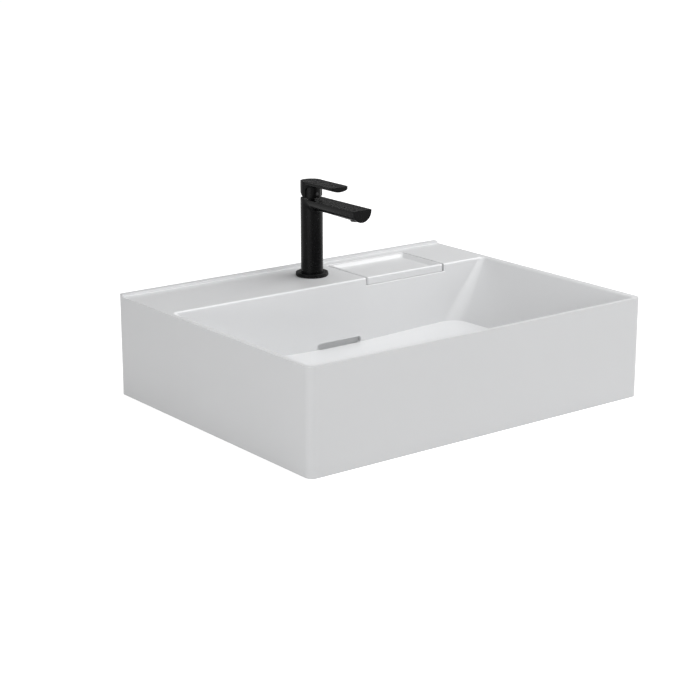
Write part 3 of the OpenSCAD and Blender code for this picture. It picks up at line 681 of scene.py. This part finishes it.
class BASIN_OT_tray(bpy.types.Operator):
    """Builds the lift-out tray with its shallow dish"""

    bl_idname = "basin.tray"
    bl_label = "Tray"

    def execute(self, context):
        s = context.scene.basin_sizes
        base, top = TRAY_LOW.z, TRAY_HIGH.z
        sole, soft, lip, foot = 0.4 * MM, s.tray_rounding, 1.2 * MM, 3.5 * MM
        rim, slope = 4 * MM, math.atan2(6 * MM, s.dish_depth)
        corner, dish_corner = 3.2 * MM, 8 * MM
        steps = 5

        def arc(inset, z, radius, first, last):
            """Points (inset, height) of an arc, its angles counted upwards from the outside."""
            angles = [first + (last - first) * i / steps for i in range(steps + 1)]
            return [(inset - radius * math.cos(a), z + radius * math.sin(a)) for a in angles]

        quarter = math.pi / 2
        fall = quarter + quarter - slope
        bend = math.tan((quarter - slope) / 2)
        outside = [(sole, base)] + arc(sole, base + sole, sole, -0.6, 0)
        outside += arc(soft, top - soft, soft, 0, quarter)
        inside = arc(rim - lip * bend, top - lip, lip, quarter, fall)
        foot_inset = rim + s.dish_depth * math.tan(slope) + foot * bend
        foot_z = top - s.dish_depth + foot
        inside += reversed([
            (2 * foot_inset - inset, 2 * foot_z - z)
            for inset, z in arc(foot_inset, foot_z, foot, quarter, fall)])
        rings = []
        for points, radius in ((outside, corner), (inside, dish_corner)):
            for inset, z in points:
                edge = Vector((inset, inset))
                turn = max(0.3 * MM, radius - inset * (0.5 if radius == dish_corner else 1))
                rings.append((TRAY_LOW.xy + edge, TRAY_HIGH.xy - edge, z, turn))
        tray = solid("soap_tray_glazed", pile(rings))
        dress(tray, FINISHES["glaze"], "tray", ["soap_tray"])
        return {"FINISHED"}


class BASIN_OT_column(bpy.types.Operator):
    """Builds the mixer's column and spout as one casting, with the fillet between them"""

    bl_idname = "basin.column"
    bl_label = "Column and spout"

    def execute(self, context):
        s = context.scene.mixer_sizes
        r, top, base = s.radius, COLUMN_HIGH.z, COLUMN_LOW.z
        # Height of the centre of the spout's round side above its flat top
        lift = 0.9 * MM
        start = math.asin(lift / r)
        fillet = s.crotch
        count, half = 33, 25

        def below(k, y):
            """Across and up for point k of the spout's section at distance y from the axis."""
            rise = lift - s.spout_drop * -y / s.spout_reach
            first = math.asin(rise / r)
            turn = first + (math.pi - 2 * first) * k / (count - 1)
            height = top if k in (0, count - 1) else min(top, top + rise - r * math.sin(turn))
            return r * math.cos(turn), height

        def front(k, station):
            """Point k of the spout's underside, of the bend below it, or of the column's front."""
            kind, share = station
            turn = start + (math.pi - 2 * start) * k / (count - 1)
            corner = -r * math.sin(turn)
            if kind == "spout":
                y = -s.spout_reach + share * (s.spout_reach + corner - fillet)
                x, z = below(k, y)
                return x, TAP_Y + y, z
            x, z = below(k, corner)
            x = r * math.cos(turn)
            if kind == "bend":
                a = share * math.pi / 2
                y = TAP_Y + corner - fillet + fillet * math.sin(a)
                return x, y, z - fillet * (1 - math.cos(a))
            return x, TAP_Y + corner, (z - fillet) + share * (base - z + fillet)

        bm = bmesh.new()
        loft(bm, count, front, [("spout", 0), ("spout", 0.04), ("spout", 1)]
             + [("bend", i / 7) for i in range(1, 8)] + [("column", 0.5), ("column", 1)])

        def back(k, z):
            turn = math.pi - start + (math.pi + 2 * start) * k / (half - 1)
            return r * math.cos(turn), TAP_Y - r * math.sin(turn), z

        knee = below(0, -r * math.sin(start))[1] - fillet
        loft(bm, half, back, [top, knee, (knee + base) / 2, base])
        bmesh.ops.remove_doubles(bm, verts=bm.verts, dist=2e-6)

        end_y = TAP_Y - s.spout_reach
        bend_y, bend_z = TAP_Y - lift - fillet, top - fillet
        sides = [r * math.cos(start) * sign for sign in (1, -1)]
        for x in sides:
            bm.edges.new((nearest(bm, x, TAP_Y - lift, top), nearest(bm, x, bend_y, top)))
        bm.edges.new((nearest(bm, r, end_y, top), nearest(bm, -r, end_y, top)))
        close(bm, lambda e: all(abs(v.co.y - end_y) < 1e-6 for v in e.verts))
        for x in sides:
            close(bm, lambda e: all(
                abs(v.co.x - x) < 1e-5 and v.co.y > bend_y - 1e-5 and v.co.z > bend_z - 1e-5
                for v in e.verts))
        close(bm, lambda e: at_height(e, top))
        close(bm, lambda e: at_height(e, base))
        bmesh.ops.recalc_face_normals(bm, faces=bm.faces)
        column = solid("mixer_column", bm)

        def edges(edge):
            if edge.calc_face_angle(0) < math.radians(40):
                return 0
            if at_height(edge, top):
                return s.edge
            return s.end_edge if all(abs(v.co.y - end_y) < 1e-5 for v in edge.verts) else 0

        soften(column, edges, 4)
        outlet = (AERATOR_LOW + AERATOR_HIGH) / 2
        # Each bore's radius, ends, place across and back, and number of sides
        bores = {
            "aerator_space": (9.2 * MM, 240 * MM, top - 7.6 * MM, outlet.x, outlet.y, 64),
            "nut_space": (14 * MM, NUT_BASE, top + 20 * MM, 0, TAP_Y, 96),
            "cartridge_space": (13.2 * MM, 236 * MM, NUT_BASE + MM, 0, TAP_Y, 96),
            "hot_inlet": (4.6 * MM, base - MM, base + 14 * MM, -7.5 * MM, TAP_Y + 3 * MM, 48),
            "cold_inlet": (4.6 * MM, base - MM, base + 14 * MM, 7.5 * MM, TAP_Y + 3 * MM, 48),
            "stud_hole": (4.05 * MM, base - MM, base + 12 * MM, 0, TAP_Y - 8 * MM, 48),
        }
        carve(column, [
            solid(name, bar_mesh(radius, low, high, (x, y, 0), sides=sides))
            for name, (radius, low, high, x, y, sides) in bores.items()])
        dress(column, FINISHES["black"], "basin", ["tap_body"], 40)
        return {"FINISHED"}


class BASIN_OT_ring(bpy.types.Operator):
    """Builds the base ring in two tiers with the fine groove between them"""

    bl_idname = "basin.ring"
    bl_label = "Base ring"

    def execute(self, context):
        s = context.scene.mixer_sizes
        low, high, r = RING_LOW.z, RING_HIGH.z, s.ring_radius
        hole, bore, ledge = 13 * MM, s.radius + 0.1 * MM, low + 2 * MM
        tier, groove = r - 0.2 * MM, r - 0.8 * MM
        bm = bmesh.new()
        # The ring's section: each point's radius, height and rounding
        profile = [
            (hole, low, 0), (r, low, 0.4 * MM), (r, low + 2.6 * MM, 0.5 * MM),
            (groove, low + 2.9 * MM, 0.1 * MM), (groove, low + 3.2 * MM, 0.1 * MM),
            (tier, low + 3.4 * MM, 0.4 * MM), (tier, high, 1.0 * MM),
            (bore, high, 0.4 * MM), (bore, ledge, 0), (hole, ledge, 0)]
        points = [bm.verts.new((x, TAP_Y, z)) for x, z, rounding in profile]
        bm.faces.new(points)
        for point, (x, z, rounding) in zip(points, profile):
            if rounding:
                round_off(bm, [point], rounding, 4)
        bmesh.ops.delete(bm, geom=bm.faces[:], context="FACES_ONLY")
        bmesh.ops.spin(
            bm, geom=bm.verts[:] + bm.edges[:], cent=(0, TAP_Y, 0), axis=(0, 0, 1),
            angle=math.tau, steps=96, use_merge=True)
        bmesh.ops.remove_doubles(bm, verts=bm.verts, dist=1e-6)
        bmesh.ops.recalc_face_normals(bm, faces=bm.faces)
        ring = solid("mixer_ring", bm)
        dress(ring, FINISHES["black"], "basin", ["tap_base_ring"], 50)
        return {"FINISHED"}


class BASIN_OT_lever(bpy.types.Operator):
    """Builds the hood and its blade as one casting, with the blend between them"""

    bl_idname = "basin.lever"
    bl_label = "Lever"

    def execute(self, context):
        s = context.scene.mixer_sizes
        r, top, low = s.radius, LEVER_HIGH.z, LEVER_LOW.z
        half = s.blade_width / 2
        reach = TAP_Y - LEVER_LOW.y
        sag = s.blade_thickness - s.blade_edge
        # Radius of the underside, which is curved across and thinner at the long edges
        curve = (half * half + sag * sag) / (2 * sag)
        soft = 1.0 * MM
        # How far forward and how far down the blend between blade and hood reaches
        blend, lean = 2.4 * MM, 11 * MM
        count, back_count = 33, 33

        def underside(x):
            """Height of the blade's underside, its long edges rounded."""
            z = top - s.blade_thickness + curve - math.sqrt(curve * curve - x * x)
            over = max(0, abs(x) - (half - soft))
            return z + soft - math.sqrt(max(0, soft * soft - over * over))

        def tip(x):
            """Place of the tip in front of the axis, its corners rounded in plan."""
            c = s.blade_corner
            over = max(0, abs(x) - (half - c))
            return -reach + c - math.sqrt(max(0, c * c - over * over))

        def front(k, station):
            """Point k of the blade's tip or underside, of the blend, or of the hood's front."""
            kind, share = station
            x = half * math.cos(math.pi * k / (count - 1))
            y0, z0 = tip(x), underside(x)
            hood = -math.sqrt(r * r - x * x)
            if kind == "top":
                return x, TAP_Y + y0, top
            if kind == "tip":
                a = share * math.pi / 2
                return x, TAP_Y + y0 + soft * (1 - math.cos(a)), z0 + soft * (1 - math.sin(a))
            if kind == "blade":
                return x, TAP_Y + y0 + soft + share * (hood - blend - y0 - soft), z0
            if kind == "bend":
                a = share * math.pi / 2
                return x, TAP_Y + hood - blend + blend * math.sin(a), z0 - lean * (1 - math.cos(a))
            return x, TAP_Y + hood, (z0 - lean) + share * (low - z0 + lean)

        bm = bmesh.new()
        loft(bm, count, front, [("top", 0), ("tip", 0), ("tip", 0.33), ("tip", 0.67), ("tip", 1)]
             + [("blade", i / 6) for i in range(1, 7)] + [("bend", i / 6) for i in range(1, 7)]
             + [("hood", 1)])
        start = math.acos(half / r)
        knee = underside(half) - lean

        def back(k, z):
            turn = math.pi - start + (math.pi + 2 * start) * k / (back_count - 1)
            return r * math.cos(turn), TAP_Y - r * math.sin(turn), z

        loft(bm, back_count, back, [top, knee, low])
        bmesh.ops.remove_doubles(bm, verts=bm.verts, dist=2e-6)

        hood_y = TAP_Y - math.sqrt(r * r - half * half)
        for x in (half, -half):
            bm.edges.new((nearest(bm, x, TAP_Y + tip(half), top), nearest(bm, x, hood_y, top)))
            close(bm, lambda e: all(
                abs(v.co.x - x) < 1e-6 and v.co.y < hood_y + 1e-6 and v.co.z > knee - 1e-6
                for v in e.verts))
        close(bm, lambda e: at_height(e, top))
        close(bm, lambda e: at_height(e, low))
        bmesh.ops.recalc_face_normals(bm, faces=bm.faces)
        lever = solid("lever_hood_and_blade", bm)

        wide = 50 * MM
        cut = box_mesh((-wide, 0, -wide), (wide, 2 * wide, 0))
        bmesh.ops.rotate(cut, matrix=Matrix.Rotation(s.hood_cut, 3, "X"), verts=cut.verts)
        bmesh.ops.translate(cut, vec=(0, TAP_Y - 2 * MM, low), verts=cut.verts)
        hood_wall, roof = 1.6 * MM, low + 8.7 * MM
        plug_radius, plug_z = 2.65 * MM, low + 5.9 * MM
        arch_top = top - s.blade_thickness - 0.4 * MM
        arch_y = TAP_Y - 5.2 * MM
        block = box_mesh((-wide, TAP_Y - r - 20 * MM, low - MM), (wide, arch_y, arch_top))
        round_off(
            block,
            [e for e in block.edges if at_height(e, arch_top) and abs(middle(e).y - arch_y) < 1e-6],
            s.arch, 8, "EDGES")
        arch = solid("arch_space", block)
        carve(arch, [solid("neck", bar_mesh(s.neck, low - 2 * MM, top, (0, TAP_Y, 0)))])
        carve(lever, [
            solid("hood_space", bar_mesh(s.neck - hood_wall, low - MM, roof, (0, TAP_Y, 0))),
            arch,
            solid("hood_back_cut", cut),
            solid("plug_hole", bar_mesh(
                plug_radius, -r, -s.neck + hood_wall, (0, TAP_Y, plug_z), "Y", 48)),
        ])
        mend(lever, 2e-6, 0.05)
        top_rounding, arch_rounding, slack = 1.5 * MM, 0.5 * MM, 0.2 * MM

        def edges(edge):
            if edge.calc_face_angle(0) < math.radians(40):
                return 0
            if at_height(edge, top):
                return top_rounding
            spot = middle(edge)
            out = math.hypot(spot.x, spot.y - TAP_Y)
            if out > s.neck + slack and spot.z < arch_top + slack and edge.is_convex:
                return arch_rounding
            return 0

        soften(lever, edges, 3)
        dress(lever, FINISHES["black"], "lever", ["lever_handle"], 40)
        return {"FINISHED"}


class BASIN_OT_fittings(bpy.types.Operator):
    """Gives the fittings that the frame already holds their finishes"""

    bl_idname = "basin.fittings"
    bl_label = "Fittings"

    def execute(self, context):
        for node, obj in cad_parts.items():
            finish = FITTING_FINISH.get(node)
            if finish is None:
                continue
            if obj.material_slots:
                for slot in obj.material_slots:
                    slot.material = FINISHES[finish]
            else:
                obj.data.materials.append(FINISHES[finish])
        return {"FINISHED"}


class BASIN_OT_stage(bpy.types.Operator):
    """Sets the pale floor, the grey card behind it, the soft lamps, the surround and the camera"""

    bl_idname = "basin.stage"
    bl_label = "Stage"

    def execute(self, context):
        scene = context.scene
        s = scene.stage_settings
        scene.view_settings.view_transform = "Standard"
        self.floor()
        self.surround(scene, s.surround)
        self.card()
        self.lamp("main_lamp", s.key_power, (2.4, 2.4), (0.5, -0.9, 2.4), (0, 0, 0.05))
        self.lamp("right_lamp", s.right_power, (2.0, 2.0), (2.3, -0.3, 1.65), (0, 0, 0.1))
        self.lamp("front_lamp", s.front_power, (1.4, 1.4), (1.6, -2.4, 1.0), (0, 0, 0.08))
        self.lamp("left_lamp", s.left_power, (1.7, 0.5), (-2.35, -0.85, 0.3), (0, 0, 0.1))
        self.camera(scene, s.lens)
        return {"FINISHED"}

    def floor(self):
        """White paper, bright to the camera and in gloss, that lights nothing else."""
        bm = bmesh.new()
        bmesh.ops.create_grid(bm, x_segments=1, y_segments=1, size=20)
        bmesh.ops.translate(bm, vec=(0, 0, -0.0004), verts=bm.verts)
        floor = solid("pale_floor", bm)
        paper = Finish("white_paper", (0.5, 0.5, 0.5), 0.9)
        seen, glossy, clear = [
            paper.node("ShaderNodeLightPath", {}, {}, kind)
            for kind in ("Is Camera Ray", "Is Glossy Ray", "Is Transmission Ray")]
        paper.set("Emission Color", paper.between(
            glossy + clear, paper.between(seen, (0, 0, 0), (0.85, 0.85, 0.85)), (0.6, 0.6, 0.6)))
        paper.set("Emission Strength", 1)
        floor.data.materials.append(paper.material)

    def surround(self, scene, level_on_object):
        """White to the camera and in gloss, and an even low light on everything."""
        world = bpy.data.worlds.new("even_surround")
        scene.world = world
        world.use_nodes = True
        tree = world.node_tree
        sky = tree.nodes["Background"]
        rays = tree.nodes.new("ShaderNodeLightPath")
        seen = rays.outputs["Is Camera Ray"]
        for kind in ("Is Glossy Ray", "Is Transmission Ray"):
            either = tree.nodes.new("ShaderNodeMath")
            either.operation = "MAXIMUM"
            tree.links.new(seen, either.inputs[0])
            tree.links.new(rays.outputs[kind], either.inputs[1])
            seen = either.outputs[0]
        level = tree.nodes.new("ShaderNodeMapRange")
        tree.links.new(seen, level.inputs["Value"])
        level.inputs["To Min"].default_value = level_on_object
        level.inputs["To Max"].default_value = 1.0
        tree.links.new(level.outputs[0], sky.inputs["Strength"])
        sky.inputs["Color"].default_value = (1, 1, 1, 1)

    def card(self):
        """A grey card above the picture's upper edge, which the glaze and the black reflect."""
        bm = bmesh.new()
        bmesh.ops.create_grid(bm, x_segments=1, y_segments=1, size=1)
        bmesh.ops.scale(bm, vec=(3.3, 2, 1), verts=bm.verts)
        bmesh.ops.rotate(bm, matrix=Matrix.Rotation(math.radians(90), 3, "X"), verts=bm.verts)
        bmesh.ops.rotate(bm, matrix=Matrix.Rotation(math.radians(-12), 3, "Z"), verts=bm.verts)
        bmesh.ops.translate(bm, vec=(0.8, 3.2, 2.6), verts=bm.verts)
        screen = solid("grey_screen", bm)
        screen.data.materials.append(Finish("grey_card", (0.15, 0.15, 0.15), 0.9).material)

    def camera(self, scene, lens):
        """The photograph's view, aimed at a point near the middle of the basin."""
        camera = bpy.data.cameras.new("camera")
        camera.sensor_width = 36
        camera.lens = lens
        holder = bpy.data.objects.new("camera", camera)
        scene.collection.objects.link(holder)
        target, distance = Vector((-0.04825, 0.00971, 0.075)), 2.6097
        azimuth, elevation = math.radians(-37.47), math.radians(15.90)
        back = Vector((
            math.sin(azimuth) * math.cos(elevation), -math.cos(azimuth) * math.cos(elevation),
            math.sin(elevation)))
        holder.location = target + back * distance
        holder.rotation_euler = (-back).to_track_quat("-Z", "Y").to_euler()
        camera.clip_start, camera.clip_end = 0.05, 60
        scene.camera = holder

    def lamp(self, name, power, size, spot, aim):
        """A rectangular lamp of the given width and height at spot, turned to aim."""
        data = bpy.data.lights.new(name, "AREA")
        data.shape = "RECTANGLE"
        data.size, data.size_y = size
        data.energy = power
        lamp = bpy.data.objects.new(name, data)
        lamp.location = spot
        lamp.rotation_euler = (Vector(aim) - Vector(spot)).to_track_quat("-Z", "Y").to_euler()
        bpy.context.scene.collection.objects.link(lamp)


class BASIN_PT_panel(bpy.types.Panel):
    """Lists the settings and the pieces"""

    bl_idname = "BASIN_PT_panel"
    bl_label = "Basin"
    bl_space_type = "VIEW_3D"
    bl_region_type = "UI"
    bl_category = "Basin"

    def draw(self, context):
        for group in GROUPS:
            settings = getattr(context.scene, group)
            column = self.layout.column(align=True)
            for key in type(settings).__annotations__:
                column.prop(settings, key)
        for operator in PIECES:
            self.layout.operator(operator.bl_idname)


# Materials by short name, filled by mix_finishes
FINISHES = {}

# Finish of each fitting whose shape the frame already holds
FITTING_FINISH = {
    "tray_pad_1": "pad", "tray_pad_2": "pad", "tray_pad_3": "pad", "tray_pad_4": "pad",
    "waste_body": "plated", "waste_grid": "steel", "waste_grid_screw": "steel",
    "waste_seal_upper": "rubber", "waste_seal_lower": "rubber", "waste_slip_washer": "plastic",
    "waste_nut": "plated",
    "tap_base_gasket": "rubber", "tap_stud": "steel", "tap_clamp_gasket": "rubber",
    "tap_clamp_washer": "steel", "tap_fixing_nut": "brass",
    "aerator_housing": "dark_plastic", "aerator_insert": "plastic", "aerator_seal": "rubber",
    "cartridge_base": "grey_plastic", "cartridge_seal_hot": "rubber",
    "cartridge_seal_cold": "rubber", "cartridge_fixed_disc": "disc",
    "cartridge_housing": "grey_plastic", "cartridge_nut": "black",
    "cartridge_moving_disc": "disc", "cartridge_turret": "grey_plastic", "stem_pin": "steel",
    # The cartridge stem is brass in the real mixer. Its dark plastic finish is painted shade for
    # the gap it shows through.
    "cartridge_stem": "dark_plastic", "lever_screw": "steel", "lever_plug": "dark_plastic",
}


def mix_finishes(colours):
    """Makes every material of the object."""
    FINISHES["glaze"] = glaze_finish(tuple(colours.glaze))
    FINISHES["black"] = black_finish(tuple(colours.black))
    FINISHES["rubber"] = moulded_finish("black_rubber", tuple(colours.rubber), 0.6, 900)
    FINISHES["brass"] = metal_finish("bare_brass", tuple(colours.brass), 0.32, True)
    FINISHES["plated"] = metal_finish("bright_plating", (0.78, 0.79, 0.8), 0.12)
    FINISHES["steel"] = metal_finish("plain_steel", (0.62, 0.62, 0.61), 0.26, True)
    FINISHES["plastic"] = moulded_finish("white_plastic", (0.72, 0.72, 0.7), 0.42)
    FINISHES["grey_plastic"] = moulded_finish("grey_plastic", (0.2, 0.2, 0.21), 0.4)
    FINISHES["dark_plastic"] = moulded_finish("dark_plastic", (0.012, 0.012, 0.013), 0.38)
    FINISHES["pad"] = moulded_finish("soft_pad", (0.6, 0.6, 0.58), 0.5)
    FINISHES["disc"] = moulded_finish("white_disc", (0.8, 0.8, 0.78), 0.16, 1500)


PIECES = (
    BASIN_OT_body, BASIN_OT_tray, BASIN_OT_column, BASIN_OT_ring, BASIN_OT_lever,
    BASIN_OT_fittings, BASIN_OT_stage,
)
GROUPS = {
    "basin_sizes": BasinSizes, "mixer_sizes": MixerSizes, "finish_colours": FinishColours,
    "stage_settings": StageSettings,
}


def register():
    for kind in (*GROUPS.values(), *PIECES, BASIN_PT_panel):
        bpy.utils.register_class(kind)
    for name, kind in GROUPS.items():
        setattr(bpy.types.Scene, name, PointerProperty(type=kind))


def unregister():
    for name in GROUPS:
        delattr(bpy.types.Scene, name)
    for kind in reversed((*GROUPS.values(), *PIECES, BASIN_PT_panel)):
        bpy.utils.unregister_class(kind)


def main():
    register()
    mix_finishes(bpy.context.scene.finish_colours)
    bpy.ops.basin.body()
    bpy.ops.basin.tray()
    bpy.ops.basin.column()
    bpy.ops.basin.ring()
    bpy.ops.basin.lever()
    bpy.ops.basin.fittings()
    bpy.ops.basin.stage()


if __name__ == "__main__":
    main()
